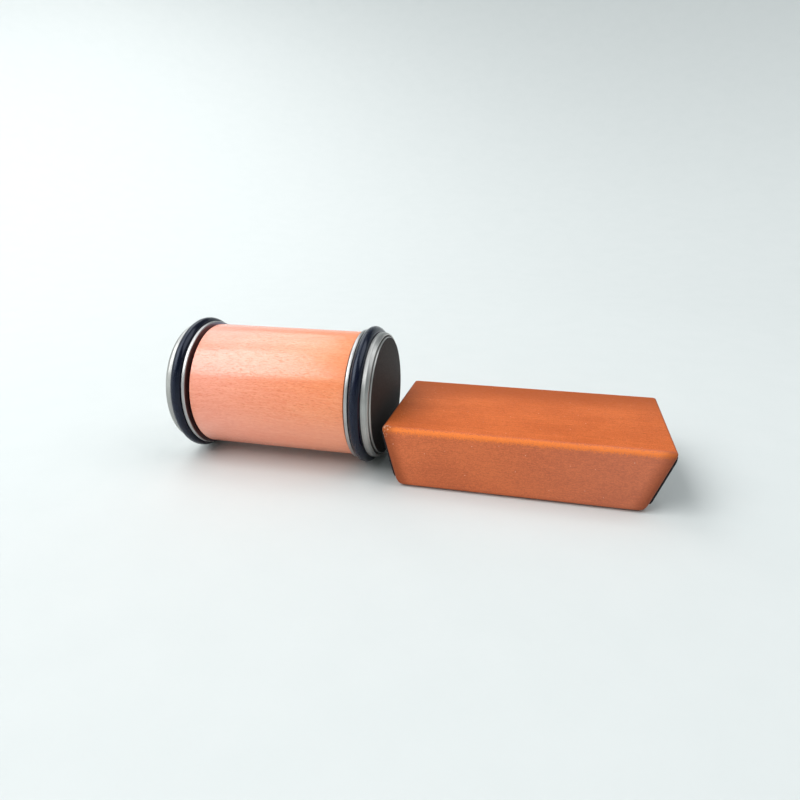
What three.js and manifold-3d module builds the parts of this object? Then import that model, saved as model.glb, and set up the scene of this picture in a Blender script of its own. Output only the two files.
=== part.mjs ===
// Rolling sharpener: a roller with a wooden grip and two abrasive end discs, and a magnetic angle block.
// Millimetres, +Z up. The roller's axle lies along X, it rolls along Y, and both pieces stand on z = 0.
// The origin is the middle of the set's footprint.

import * as THREE from 'three';
import { mergeVertices } from 'three/addons/utils/BufferGeometryUtils.js';
import Module from 'manifold-3d';

const wasm = await Module();
wasm.setup();

// Clearances
const fit = 0.2; // between pieces that are seated on each other
const tyrePlay = 0.15; // between a tyre and its groove
const ballPlay = 0.25; // between a ball and its races
const pocketPlay = 0.2; // between a ball and its cage
const runningGap = 1.3; // between the standing grip and the turning wheels
const gripBoreGap = 2.5; // between the grip's bore and the axle
const discGap = 0.5; // round a disc in its rim
const workGap = 4.2; // between the right disc and the top edge of the block

// Tyres and wheels
const tyreDiameter = 60; // over the rubber, so it sets the roller's height
const tyreCord = 5;
const flangeFloorGap = 1.6; // height of a wheel's inner flange over the table
const rimFloorGap = 2.5; // height of a wheel's outer rim over the table
const flangeThickness = 1.6;
const rimBackWall = 1; // between the tyre groove and the disc's seat
const rimLip = 1.3; // round the disc's seat
const rimBevelLength = 1.2; // along the axle
const rimBevelDrop = 0.7; // towards the axle

// Discs
const discThickness = 2.6;
const discProud = 0.8; // beyond the rim
const discChamfer = 0.4;
const hubDiameter = 12.4; // boss on a disc's back
const hubLength = 3;
const studDiameter = 5.6;
const studInDisc = 4; // length of a stud in the disc's hub
const studInAxle = 9; // length of a stud in the axle

// Grip
const gripLength = 69;
const gripFloorGap = 2.8; // height of the grip over the table
const gripEdgeRound = 1;

// Ball bearings, with their cups and retaining rings
const bearingBore = 8;
const bearingOuter = 22;
const bearingWidth = 7;
const raceWall = 1.25; // under a ball
const ballCount = 7;
const cageRail = 0.6; // beside a ball
const shoulderShare = 0.72; // opening between the races, as a share of a ball
const cageShare = 0.4; // thickness of the cage, as a share of a ball
const cupWall = 3.8;
const cupLip = 3;
const cupInset = 0.5; // below the grip's end
const cupMouth = 1.2; // beyond the retaining ring
const ringThickness = 1;
const ringWidth = 1.6;
const ringGrooveDepth = 0.6;
const ringOpening = 0.5; // half the angle that is open, in radians
const lugAngle = 0.3; // in radians
const lugDrop = 1.2;
const lugHole = 1;

// Axle and spacers
const axleShoulder = 1.5; // step of the axle's middle over its journals
const axleInWheel = 4;
const spacerWall = 1.9;

// Angle block
const blockLength = 113; // along its top
const blockDepth = 65;
const blockHeight = 25.6;
const blockSetback = 5.8; // middle of the block behind the roller's axle
const leftAngle = THREE.MathUtils.degToRad(15);
const rightAngle = THREE.MathUtils.degToRad(20);
const longEdgeRound = 2.5;
const endEdgeRound = 1.6;
const endPadThickness = 0.8;
const endPadMargin = 2.4;
const endPadCorner = 2.5;
const magnetDiameter = 14;
const magnetThickness = 5;
const magnetCount = 3; // behind each end
const magnetSideWall = 4; // wood beside the outer bores
const basePadThickness = 1.6;
const basePadProud = 0.3;
const basePadMargin = 8;
const basePadCorner = 4;

// Facets
const wheelFacets = 56;
const cupFacets = 24;
const bearingFacets = 20;
const windowFacets = 8;
const eyeletFacets = 6;
const cordFacets = 10;
const arcFacets = 4;
const ballDetail = 1;
const weldDistance = 1e-4; // corners closer than this are one

// A closed geometry turned about X from an outline of [x, radius] points
function turned(outline, facets) {
  const points = outline.map(([x, radius]) => new THREE.Vector2(radius, x));
  const startsOnAxis = points[0].x === 0;
  if (!startsOnAxis) points.push(points[0].clone());
  if (THREE.ShapeUtils.area(points) < 0) points.reverse();
  const geometry = new THREE.LatheGeometry(points, facets);
  return geometry.rotateZ(-Math.PI / 2);
}

// Points of an arc in an outline, with angles from the +X direction towards growing radius
function arc(x, radius, size, from, to, steps) {
  const points = [];
  for (let i = 0; i <= steps; i++) {
    const angle = from + ((to - from) * i) / steps;
    points.push([x + size * Math.cos(angle), radius + size * Math.sin(angle)]);
  }
  return points;
}

function toVectors(points) {
  return points.map(([u, v]) => new THREE.Vector2(u, v));
}

// A polygon with every corner rounded by an arc; corners run anticlockwise
function roundedPolygon(corners, radius) {
  const shape = new THREE.Shape();
  corners.forEach((corner, i) => {
    const before = corners[(i + corners.length - 1) % corners.length];
    const after = corners[(i + 1) % corners.length];
    const toBefore = before.clone().sub(corner).normalize();
    const toAfter = after.clone().sub(corner).normalize();
    const half = Math.acos(toBefore.dot(toAfter)) / 2;
    const inward = toBefore.clone().add(toAfter).normalize();
    const centre = corner.clone().addScaledVector(inward, radius / Math.sin(half));
    const from = Math.atan2(-toBefore.x, toBefore.y);
    const to = Math.atan2(toAfter.x, -toAfter.y);
    shape.absarc(centre.x, centre.y, radius, from + Math.PI, to + Math.PI, false);
  });
  return shape;
}

function roundedRectangle(width, height, radius) {
  const x = width / 2;
  const y = height / 2;
  return roundedPolygon(toVectors([[-x, -y], [x, -y], [x, y], [-x, y]]), radius);
}

function extruded(shape, depth) {
  return new THREE.ExtrudeGeometry(shape, { depth, bevelEnabled: false, curveSegments: arcFacets });
}

// Joining and cutting
function toSolid(geometry) {
  const bare = geometry.clone();
  bare.deleteAttribute('normal');
  bare.deleteAttribute('uv');
  const merged = mergeVertices(bare, weldDistance);
  const mesh = new wasm.Mesh({
    numProp: 3,
    vertProperties: new Float32Array(merged.attributes.position.array),
    triVerts: new Uint32Array(merged.index.array),
  });
  return new wasm.Manifold(mesh);
}

function toGeometry(solid) {
  const mesh = solid.getMesh();
  const geometry = new THREE.BufferGeometry();
  geometry.setAttribute('position', new THREE.BufferAttribute(mesh.vertProperties, 3));
  geometry.setIndex(new THREE.BufferAttribute(mesh.triVerts, 1));
  geometry.computeVertexNormals();
  return geometry;
}

// Materials
function finish(color, roughness, metalness) {
  return new THREE.MeshStandardMaterial({ color, roughness, metalness });
}
const lightWood = () => finish(0xd9935f, 0.45, 0);
const redWood = () => finish(0xa5563a, 0.5, 0);
const blackRubber = () => finish(0x17191c, 0.75, 0);
const brushedSteel = () => finish(0xb4b6b6, 0.35, 1);
const brightSteel = () => finish(0xc9cbcc, 0.15, 1);
const darkSteel = () => finish(0x6d6f71, 0.4, 1);
const abrasive = () => finish(0x474340, 0.9, 0.3);
const aluminium = () => finish(0xbfc3c6, 0.4, 1);
const brass = () => finish(0xb08d4a, 0.4, 1);
const nickel = () => finish(0xc4c0b6, 0.2, 1);

function piece(parent, name, geometry, material) {
  const mesh = new THREE.Mesh(geometry, material);
  mesh.name = name;
  parent.add(mesh);
  return mesh;
}

// Radii of the roller
const tyreRadius = tyreDiameter / 2;
const cordRadius = tyreCord / 2;
const tyreCentre = tyreRadius - cordRadius;
const grooveRadius = cordRadius + tyrePlay;
const flangeRadius = tyreRadius - flangeFloorGap;
const rimRadius = tyreRadius - rimFloorGap;
const seatRadius = rimRadius - rimLip;
const discRadius = seatRadius - discGap;
const hubRadius = hubDiameter / 2;
const studRadius = studDiameter / 2;
const gripRadius = tyreRadius - gripFloorGap;
const journalRadius = bearingBore / 2 - fit;
const journalSeat = journalRadius + fit;
const shoulderRadius = bearingBore / 2 + axleShoulder;
const spacerRadius = journalSeat + spacerWall;
const bearingSeat = bearingOuter / 2 + fit;
const cupRadius = bearingSeat + cupWall;
const ballPitch = (bearingOuter + bearingBore) / 4;
const ballDiameter = (bearingOuter - bearingBore) / 2 - 2 * (raceWall + ballPlay);
const raceOpening = ballDiameter * shoulderShare;
const cageThickness = ballDiameter * cageShare;

// Places along the roller's axis on its right half, outwards from the middle
const gripEnd = gripLength / 2;
const cupEnd = gripEnd - cupInset;
const ringSlotEnd = cupEnd - cupMouth;
const ringEnd = ringSlotEnd - fit;
const ringStart = ringEnd - ringThickness;
const ringSlotStart = ringStart - fit;
const bearingEnd = ringSlotStart;
const bearingMiddle = bearingEnd - bearingWidth / 2;
const bearingStart = bearingEnd - bearingWidth;
const cupFloor = bearingStart - fit;
const cupStart = cupFloor - cupLip;
const shoulderEnd = bearingStart - fit;
const wheelStart = gripEnd + runningGap;
const flangeEnd = wheelStart + flangeThickness;
const tyreMiddle = flangeEnd + grooveRadius;
const rimStart = tyreMiddle + grooveRadius;
const seatFloor = rimStart + rimBackWall;
const discBack = seatFloor + fit;
const discFace = discBack + discThickness;
const rimEnd = discFace - discProud;
const hubEnd = discBack - hubLength;
const hubSeatFloor = hubEnd - fit;
const axleEnd = wheelStart + axleInWheel;
const studStart = axleEnd - studInAxle;
const studEnd = hubEnd + studInDisc;

// Wooden grip with a bore for the axle and a counterbore for the bearing cup at each end
function gripBarrel() {
  const boreRadius = shoulderRadius + gripBoreGap;
  const cupSeat = cupRadius + fit;
  const cupSeatFloor = cupStart - fit;
  const edge = gripEnd - gripEdgeRound;
  const edgeCentre = gripRadius - gripEdgeRound;
  return turned(
    [
      [-cupSeatFloor, boreRadius],
      [-cupSeatFloor, cupSeat],
      [-gripEnd, cupSeat],
      ...arc(-edge, edgeCentre, gripEdgeRound, Math.PI, Math.PI / 2, arcFacets),
      ...arc(edge, edgeCentre, gripEdgeRound, Math.PI / 2, 0, arcFacets),
      [gripEnd, cupSeat],
      [cupSeatFloor, cupSeat],
      [cupSeatFloor, boreRadius],
    ],
    wheelFacets,
  );
}

// Shaft with a thicker middle, and a threaded hole for a stud in each end
function axleShaft() {
  const holeRadius = studRadius + fit;
  const holeFloor = studStart - fit;
  return turned(
    [
      [-holeFloor, 0],
      [-holeFloor, holeRadius],
      [-axleEnd, holeRadius],
      [-axleEnd, journalRadius],
      [-shoulderEnd, journalRadius],
      [-shoulderEnd, shoulderRadius],
      [shoulderEnd, shoulderRadius],
      [shoulderEnd, journalRadius],
      [axleEnd, journalRadius],
      [axleEnd, holeRadius],
      [holeFloor, holeRadius],
      [holeFloor, 0],
    ],
    bearingFacets,
  );
}

// Cup that holds a bearing in the wood, with a lip behind it and a slot for the retaining ring
function bearingCup() {
  const lipRadius = ballPitch + raceOpening / 2;
  const slotRadius = bearingSeat + ringGrooveDepth;
  return turned(
    [
      [cupStart, lipRadius],
      [cupStart, cupRadius],
      [cupEnd, cupRadius],
      [cupEnd, bearingSeat],
      [ringSlotEnd, bearingSeat],
      [ringSlotEnd, slotRadius],
      [ringSlotStart, slotRadius],
      [ringSlotStart, bearingSeat],
      [cupFloor, bearingSeat],
      [cupFloor, lipRadius],
    ],
    cupFacets,
  );
}

// Open spring ring with two eyelets, flat in its slot
function retainingRing() {
  const outer = (bearingSeat + ringGrooveDepth - fit) * Math.cos(Math.PI / cupFacets);
  const inner = outer - ringWidth;
  const lug = inner - lugDrop;
  const first = ringOpening;
  const last = 2 * Math.PI - ringOpening;
  const outline = [
    ...arc(0, 0, outer, first, last, cupFacets),
    ...arc(0, 0, lug, last, last - lugAngle, 1),
    ...arc(0, 0, inner, last - lugAngle, first + lugAngle, cupFacets),
    ...arc(0, 0, lug, first + lugAngle, first, 1),
  ];
  const shape = new THREE.Shape(toVectors(outline));
  const eyeRadius = (outer + lug) / 2;
  for (const angle of [first + lugAngle / 2, last - lugAngle / 2]) {
    const u = eyeRadius * Math.cos(angle);
    const v = eyeRadius * Math.sin(angle);
    const eye = arc(u, v, lugHole / 2, 0, 2 * Math.PI, eyeletFacets);
    shape.holes.push(new THREE.Path(toVectors(eye)));
  }
  const geometry = extruded(shape, ringThickness);
  return geometry.rotateY(Math.PI / 2).translate(ringStart, 0, 0);
}

// Bearing race: a ring whose working side, towards the balls, has a round track
function bearingRace(backRadius, side) {
  const trackRadius = ballDiameter / 2 + ballPlay;
  const halfAngle = side * Math.acos(raceOpening / 2 / trackRadius);
  const towards = (side * Math.PI) / 2;
  const shoulder = ballPitch + (side * raceOpening) / 2;
  const track = [towards + halfAngle, towards - halfAngle];
  return turned(
    [
      [bearingStart, backRadius],
      [bearingStart, shoulder],
      ...arc(bearingMiddle, ballPitch, trackRadius, ...track, arcFacets),
      [bearingEnd, shoulder],
      [bearingEnd, backRadius],
    ],
    bearingFacets,
  );
}

// Place of one ball round the bearing
function ballPlace(index) {
  const angle = (2 * Math.PI * index) / ballCount;
  return new THREE.Vector3(bearingMiddle, ballPitch * Math.sin(angle), ballPitch * Math.cos(angle));
}

// Cage: a plain ring with a round window for each ball
function ballCage() {
  const pocketRadius = ballDiameter / 2 + pocketPlay;
  const halfWidth = pocketRadius + cageRail;
  const inner = ballPitch - cageThickness / 2;
  const outer = ballPitch + cageThickness / 2;
  const ring = turned(
    [
      [bearingMiddle - halfWidth, inner],
      [bearingMiddle - halfWidth, outer],
      [bearingMiddle + halfWidth, outer],
      [bearingMiddle + halfWidth, inner],
    ],
    bearingFacets,
  );
  let solid = toSolid(ring);
  for (let i = 0; i < ballCount; i++) {
    const window = new THREE.CylinderGeometry(pocketRadius, pocketRadius, ballDiameter, windowFacets);
    window.rotateX(Math.PI / 2 - (2 * Math.PI * i) / ballCount);
    const place = ballPlace(i);
    window.translate(place.x, place.y, place.z);
    solid = solid.subtract(toSolid(window));
  }
  return toGeometry(solid);
}

// Bush that carries the clamping load from the inner race to the wheel
function spacerBush() {
  const start = bearingEnd + fit;
  const end = wheelStart - fit;
  return turned(
    [
      [start, journalSeat],
      [start, spacerRadius],
      [end, spacerRadius],
      [end, journalSeat],
    ],
    bearingFacets,
  );
}

// Turned wheel: a flange beside the grip, a round tyre groove, and a rim with the disc's seat
function steelWheel() {
  const belowFlange = Math.asin(Math.max(0, (tyreCentre - flangeRadius) / grooveRadius));
  const belowRim = Math.asin(Math.max(0, (tyreCentre - rimRadius) / grooveRadius));
  const groove = [Math.PI + belowFlange, 2 * Math.PI - belowRim];
  return turned(
    [
      [wheelStart, journalSeat],
      [wheelStart, flangeRadius],
      [flangeEnd, flangeRadius],
      ...arc(tyreMiddle, tyreCentre, grooveRadius, ...groove, 2 * arcFacets),
      [rimStart, rimRadius],
      [rimEnd - rimBevelLength, rimRadius],
      [rimEnd, rimRadius - rimBevelDrop],
      [rimEnd, seatRadius],
      [seatFloor, seatRadius],
      [seatFloor, hubRadius + fit],
      [hubSeatFloor, hubRadius + fit],
      [hubSeatFloor, journalSeat],
    ],
    wheelFacets,
  );
}

function rubberTyre() {
  const geometry = new THREE.TorusGeometry(tyreCentre, cordRadius, cordFacets, wheelFacets);
  return geometry.rotateY(Math.PI / 2).translate(tyreMiddle, 0, 0);
}

// Disc with a flat working face, and a boss behind it for the stud
function endDisc() {
  const holeRadius = studRadius + fit;
  const holeFloor = studEnd + fit;
  return turned(
    [
      [holeFloor, 0],
      [holeFloor, holeRadius],
      [hubEnd, holeRadius],
      [hubEnd, hubRadius],
      [discBack, hubRadius],
      [discBack, discRadius],
      [discFace - discChamfer, discRadius],
      [discFace, discRadius - discChamfer],
      [discFace, 0],
    ],
    wheelFacets,
  );
}

function threadedStud() {
  return turned(
    [
      [studStart, 0],
      [studStart, studRadius],
      [studEnd, studRadius],
      [studEnd, 0],
    ],
    bearingFacets,
  );
}

// Places on the block, from its top left edge, with the height over the table as z
const woodBase = basePadProud;
const woodHeight = blockHeight - woodBase;
const endMiddle = woodBase + woodHeight / 2;
const bottomLeft = woodHeight * Math.tan(leftAngle);
const bottomRight = blockLength - woodHeight * Math.tan(rightAngle);
const basePadLength = bottomRight - bottomLeft - 2 * basePadMargin;
const basePadDepth = blockDepth - 2 * basePadMargin;
const basePadMiddle = (bottomLeft + bottomRight) / 2;
const magnetBore = magnetDiameter + 2 * fit;
const magnetPitch = (blockDepth - 2 * magnetSideWall - magnetBore) / (magnetCount - 1);

// The two cut ends, each with a frame whose +X points out of the end face, at the middle of the face
const ends = [
  { name: '15', angle: leftAngle, x: bottomLeft / 2, turn: Math.PI - leftAngle },
  { name: '20', angle: rightAngle, x: (bottomRight + blockLength) / 2, turn: rightAngle },
];

function endFrame(end) {
  const frame = new THREE.Group();
  frame.position.set(end.x, 0, endMiddle);
  frame.rotation.y = end.turn;
  frame.updateMatrix();
  return frame;
}

function magnetPlaces() {
  const first = (-magnetPitch * (magnetCount - 1)) / 2;
  return Array.from({ length: magnetCount }, (_, i) => first + i * magnetPitch);
}

// A round magnet, or its bore, that goes in by some depth from just under the end face
function magnetPlug(radius, from, depth, y) {
  const geometry = new THREE.CylinderGeometry(radius, radius, depth, bearingFacets);
  return geometry.rotateZ(Math.PI / 2).translate(from - depth / 2, y, 0);
}

// The rubber sheet under the block or, with some play, the recess that it lies in
function basePad(play) {
  const sheet = roundedRectangle(basePadLength + 2 * play, basePadDepth + 2 * play, basePadCorner + play);
  return extruded(sheet, basePadThickness + play).translate(basePadMiddle, 0, 0);
}

// Wooden block: a bar with rounded long edges, its ends cut at their angles, bored for the magnets
function blockBody() {
  const bar = extruded(roundedRectangle(woodHeight, blockDepth, longEdgeRound), blockLength);
  bar.rotateY(Math.PI / 2).translate(0, 0, endMiddle);
  const side = [
    [bottomLeft, woodBase],
    [bottomRight, woodBase],
    [blockLength, blockHeight],
    [0, blockHeight],
  ];
  const slice = extruded(roundedPolygon(toVectors(side), endEdgeRound), blockDepth);
  slice.rotateX(Math.PI / 2).translate(0, blockDepth / 2, 0);
  let solid = toSolid(bar).intersect(toSolid(slice));
  const boreDepth = magnetThickness + 2 * fit;
  for (const end of ends) {
    for (const y of magnetPlaces()) {
      const bore = magnetPlug(magnetBore / 2, fit, boreDepth + fit, y);
      solid = solid.subtract(toSolid(bore.applyMatrix4(endFrame(end).matrix)));
    }
  }
  return toGeometry(solid.subtract(toSolid(basePad(fit))));
}

// Thin rubber sheet glued on a cut end
function endPad(end) {
  const slope = woodHeight / Math.cos(end.angle);
  const height = slope - 2 * endPadMargin;
  const width = blockDepth - 2 * endPadMargin;
  const sheet = roundedRectangle(height, width, endPadCorner);
  return extruded(sheet, endPadThickness).rotateY(Math.PI / 2).translate(fit, 0, 0);
}

// Roller, with its right half and the same half turned round for its left
const roller = new THREE.Group();
piece(roller, 'grip_barrel', gripBarrel(), lightWood());
piece(roller, 'axle', axleShaft(), brushedSteel());
for (const [side, turn] of [['right', 0], ['left', Math.PI]]) {
  const half = new THREE.Group();
  half.rotation.z = turn;
  roller.add(half);
  piece(half, `bearing_cup_${side}`, bearingCup(), aluminium());
  piece(half, `retaining_ring_${side}`, retainingRing(), darkSteel());
  piece(half, `outer_race_${side}`, bearingRace(bearingOuter / 2, 1), brightSteel());
  piece(half, `inner_race_${side}`, bearingRace(bearingBore / 2, -1), brightSteel());
  piece(half, `ball_cage_${side}`, ballCage(), brass());
  for (let i = 0; i < ballCount; i++) {
    const ball = new THREE.IcosahedronGeometry(ballDiameter / 2, ballDetail);
    piece(half, `ball_${side}_${i + 1}`, ball, brightSteel()).position.copy(ballPlace(i));
  }
  piece(half, `spacer_${side}`, spacerBush(), brushedSteel());
  piece(half, `wheel_${side}`, steelWheel(), brushedSteel());
  piece(half, `tyre_${side}`, rubberTyre(), blackRubber());
  piece(half, `disc_stud_${side}`, threadedStud(), darkSteel());
  if (side === 'right') piece(half, 'diamond_disc', endDisc(), abrasive());
  else piece(half, 'honing_disc', endDisc(), brightSteel());
}

// Angle block
const block = new THREE.Group();
piece(block, 'block_body', blockBody(), redWood());
for (const end of ends) {
  const frame = endFrame(end);
  block.add(frame);
  piece(frame, `end_pad_${end.name}`, endPad(end), blackRubber());
  magnetPlaces().forEach((y, i) => {
    const magnet = magnetPlug(magnetDiameter / 2, -fit, magnetThickness, y);
    piece(frame, `magnet_${end.name}_${i + 1}`, magnet, nickel());
  });
}
piece(block, 'base_pad', basePad(0), blackRubber());

// The set, with the middle of its footprint on the origin
const rightPadReach = (fit + endPadThickness) * Math.cos(rightAngle) - endPadMargin * Math.sin(rightAngle);
const rightWoodReach = endEdgeRound - endEdgeRound / Math.tan(Math.PI / 4 - rightAngle / 2);
const rightReach = Math.max(rightPadReach, rightWoodReach);
const setLength = 2 * discFace + workGap + blockLength + rightReach;
const setFront = Math.min(-tyreRadius, blockSetback - blockDepth / 2);
const setBack = Math.max(tyreRadius, blockSetback + blockDepth / 2);
const setMiddle = (setFront + setBack) / 2;
roller.position.set(discFace - setLength / 2, -setMiddle, tyreRadius);
block.position.set(2 * discFace + workGap - setLength / 2, blockSetback - setMiddle, 0);

const sharpener = new THREE.Group();
sharpener.add(roller, block);

export default sharpener;
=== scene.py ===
import math

import bmesh
import bpy
from mathutils import Matrix, Vector


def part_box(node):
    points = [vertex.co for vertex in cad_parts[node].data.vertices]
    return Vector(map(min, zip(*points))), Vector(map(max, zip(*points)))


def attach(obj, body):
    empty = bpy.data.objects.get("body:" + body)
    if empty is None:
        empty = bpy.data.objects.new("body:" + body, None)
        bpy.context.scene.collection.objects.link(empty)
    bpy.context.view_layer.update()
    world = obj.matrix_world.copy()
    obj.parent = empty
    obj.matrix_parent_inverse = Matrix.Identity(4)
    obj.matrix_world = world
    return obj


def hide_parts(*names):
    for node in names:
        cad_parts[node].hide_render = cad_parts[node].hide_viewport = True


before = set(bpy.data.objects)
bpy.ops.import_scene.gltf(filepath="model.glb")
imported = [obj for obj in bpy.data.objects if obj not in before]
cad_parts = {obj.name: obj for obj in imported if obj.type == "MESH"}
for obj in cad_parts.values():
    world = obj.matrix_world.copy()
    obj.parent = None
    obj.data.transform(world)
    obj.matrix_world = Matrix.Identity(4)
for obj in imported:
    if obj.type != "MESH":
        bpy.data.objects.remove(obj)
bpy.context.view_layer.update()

# Camera
# A short lens close to the set, standing in front of it a little to its right and looking down.
# Its place was fitted to the corners of the block and the outlines of the wheels.
frame_width = 800
focal_pixels = 620.7
camera_turn = math.radians(14.0)
camera_dip = math.radians(19.9)
camera_roll = math.radians(-0.26)
camera_place = Vector((0.05587, -0.25333, 0.12113))
camera = bpy.data.objects.new("camera", bpy.data.cameras.new("camera"))
camera.data.sensor_width = 36
camera.data.lens = focal_pixels / frame_width * camera.data.sensor_width
camera.data.clip_start = 0.01
camera.matrix_world = (
    Matrix.Translation(camera_place)
    @ Matrix.Rotation(camera_turn, 4, "Z")
    @ Matrix.Rotation(math.pi / 2 - camera_dip, 4, "X")
    @ Matrix.Rotation(camera_roll, 4, "Z")
)
bpy.context.scene.collection.objects.link(camera)
bpy.context.scene.camera = camera

# Floor and studio light
# A pale matt sheet that sweeps up all round, lit by a large softbox high on the left in front.
# Weaker boxes behind on the left and overhead on the right fill the shadows. Two more light the sweep.
mm = 0.001
bpy.context.scene.view_settings.view_transform = "Standard"
bpy.context.scene.view_settings.look = "None"


def add_node(tree, kind, inputs=None, **settings):
    made = tree.nodes.new("ShaderNode" + kind)
    for name, value in settings.items():
        setattr(made, name, value)
    for name, value in (inputs or {}).items():
        if isinstance(value, bpy.types.NodeSocket):
            tree.links.new(value, made.inputs[name])
        else:
            made.inputs[name].default_value = value
    return made


def new_finish(name):
    finish = bpy.data.materials.new(name)
    finish.use_nodes = True
    tree = finish.node_tree
    tree.nodes.clear()
    shader = add_node(tree, "BsdfPrincipled")
    add_node(tree, "OutputMaterial", {"Surface": shader.outputs["BSDF"]})
    place = add_node(tree, "TexCoord").outputs["Object"]
    return finish, tree, shader, place


def scaled(tree, place, scale, location=(0, 0, 0)):
    inputs = {"Vector": place, "Scale": scale, "Location": location}
    return add_node(tree, "Mapping", inputs).outputs["Vector"]


def noise(tree, place, detail, roughness=0.5):
    inputs = {"Vector": place, "Scale": 1.0, "Detail": detail, "Roughness": roughness}
    return add_node(tree, "TexNoise", inputs).outputs["Fac"]


def even_noise(tree, place, scale, detail, roughness=0.5):
    """Noise of one size in every direction, with so many grains to a unit of the place."""
    return noise(tree, scaled(tree, place, (scale, scale, scale)), detail, roughness)


def spread(tree, value, low, high, to_low=0.0, to_high=1.0):
    inputs = {"Value": value, "From Min": low, "From Max": high, "To Min": to_low, "To Max": to_high}
    return add_node(tree, "MapRange", inputs, interpolation_type="SMOOTHSTEP").outputs["Result"]


def calculate(tree, operation, first, second=0.0, third=0.0):
    return add_node(tree, "Math", {0: first, 1: second, 2: third}, operation=operation).outputs["Value"]


def blend_colours(tree, share, first, second):
    """A mix node has its two colours at sockets 6 and 7, and the blended colour at its output 2."""
    return add_node(tree, "Mix", {0: share, 6: first, 7: second}, data_type="RGBA").outputs[2]


def add_bump(tree, shader, height, distance, strength, layer="Normal"):
    inputs = {"Height": height, "Distance": distance, "Strength": strength}
    tree.links.new(add_node(tree, "Bump", inputs).outputs["Normal"], shader.inputs[layer])


def finished(shape, name, sharp_angle=40):
    mesh = bpy.data.meshes.new(name)
    for face in shape.faces:
        face.smooth = True
    shape.to_mesh(mesh)
    shape.free()
    mesh.set_sharp_from_angle(angle=math.radians(sharp_angle))
    made = bpy.data.objects.new(name, mesh)
    bpy.context.scene.collection.objects.link(made)
    return made


weld_reach = 0.0001 * mm


def weld(shape):
    bmesh.ops.remove_doubles(shape, verts=shape.verts, dist=weld_reach)
    bmesh.ops.recalc_face_normals(shape, faces=shape.faces)


def spun(shape, centre, axis, steps):
    bmesh.ops.spin(
        shape, geom=shape.verts[:] + shape.edges[:], cent=centre, axis=axis, dvec=(0, 0, 0),
        angle=math.tau, steps=steps, use_merge=True,
    )
    weld(shape)


flat_radius = 0.45
sweep_round = 1.3
sweep_angle = math.radians(76)
sweep_steps = 36
floor_steps = 128
floor_drop = 0.05 * mm
shape = bmesh.new()
foot = shape.verts.new((flat_radius, 0, -floor_drop))
bmesh.ops.spin(
    shape, geom=[foot], cent=(flat_radius, 0, sweep_round - floor_drop), axis=(0, -1, 0), dvec=(0, 0, 0),
    angle=sweep_angle, steps=sweep_steps,
)
middle = shape.verts.new((0, 0, -floor_drop))
shape.edges.new((middle, foot))
spun(shape, (0, 0, 0), (0, 0, 1), floor_steps)
if min(shape.faces, key=lambda face: face.calc_center_median().length).normal.z < 0:
    bmesh.ops.reverse_faces(shape, faces=shape.faces)
floor = finished(shape, "studio_floor")

paper_shade = (0.645, 0.667, 0.656, 1)
paper_light = (0.675, 0.692, 0.681, 1)
paper, tree, shader, place = new_finish("pale_paper")
mottle = even_noise(tree, place, scale=45, detail=5)
paper_tone = blend_colours(tree, mottle, paper_shade, paper_light)
tree.links.new(paper_tone, shader.inputs["Base Color"])
shader.inputs["Roughness"].default_value = 0.9
shader.inputs["Specular IOR Level"].default_value = 0.1
add_bump(tree, shader, even_noise(tree, place, scale=260, detail=4), distance=0.2 * mm, strength=0.3)
floor.data.materials.append(paper)

cool_white = (0.97, 0.99, 1.0)
air_colour = (0.8, 0.93, 1.0, 1)
air_strength = 0.26


def add_softbox(name, place, target, width, height, radiance, upright):
    lamp = bpy.data.lights.new(name, "AREA")
    lamp.shape = "RECTANGLE"
    lamp.size = width
    lamp.size_y = height
    lamp.energy = radiance * math.pi * width * height
    lamp.color = cool_white
    facing = (Vector(place) - Vector(target)).normalized()
    across = Vector(upright).cross(facing).normalized()
    turn = Matrix((across, facing.cross(across), facing)).transposed()
    box = bpy.data.objects.new(name, lamp)
    box.matrix_world = Matrix.Translation(place) @ turn.to_4x4()
    bpy.context.scene.collection.objects.link(box)


set_middle = (0, 0, 0.02)
floor_front_left = (-0.35, -0.25, 0)
floor_back_left = (-0.3, 0.22, 0)
sweep_back_left = (-0.84, 1.12, 0.34)
sweep_back_right = (0.15, 1.4, 0.7)
level = (0, 1, 0)
leaning = (-0.2, 1, 0)
upward = (0, 0, 1)
add_softbox(
    "front_left_softbox", place=(-0.76, -0.57, 0.945), target=floor_front_left, width=0.92, height=1.03,
    radiance=4.58, upright=level,
)
add_softbox(
    "back_left_strip", place=(-0.62, 0.48, 1.01), target=floor_back_left, width=0.62, height=1.25,
    radiance=2.15, upright=leaning,
)
add_softbox(
    "right_softbox", place=(0.65, 0.12, 1.12), target=set_middle, width=1.1, height=1.0,
    radiance=2.1, upright=level,
)
add_softbox(
    "left_sweep_softbox", place=(-0.87, 0.35, 0.88), target=sweep_back_left, width=1.3, height=0.4,
    radiance=1.8, upright=upward,
)
add_softbox(
    "right_sweep_softbox", place=(0.15, 0.45, 0.95), target=sweep_back_right, width=1.3, height=0.4,
    radiance=1.0, upright=upward,
)
world = bpy.data.worlds.new("studio_air")
world.use_nodes = True
background = world.node_tree.nodes["Background"]
background.inputs["Color"].default_value = air_colour
background.inputs["Strength"].default_value = air_strength
bpy.context.scene.world = world

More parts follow.
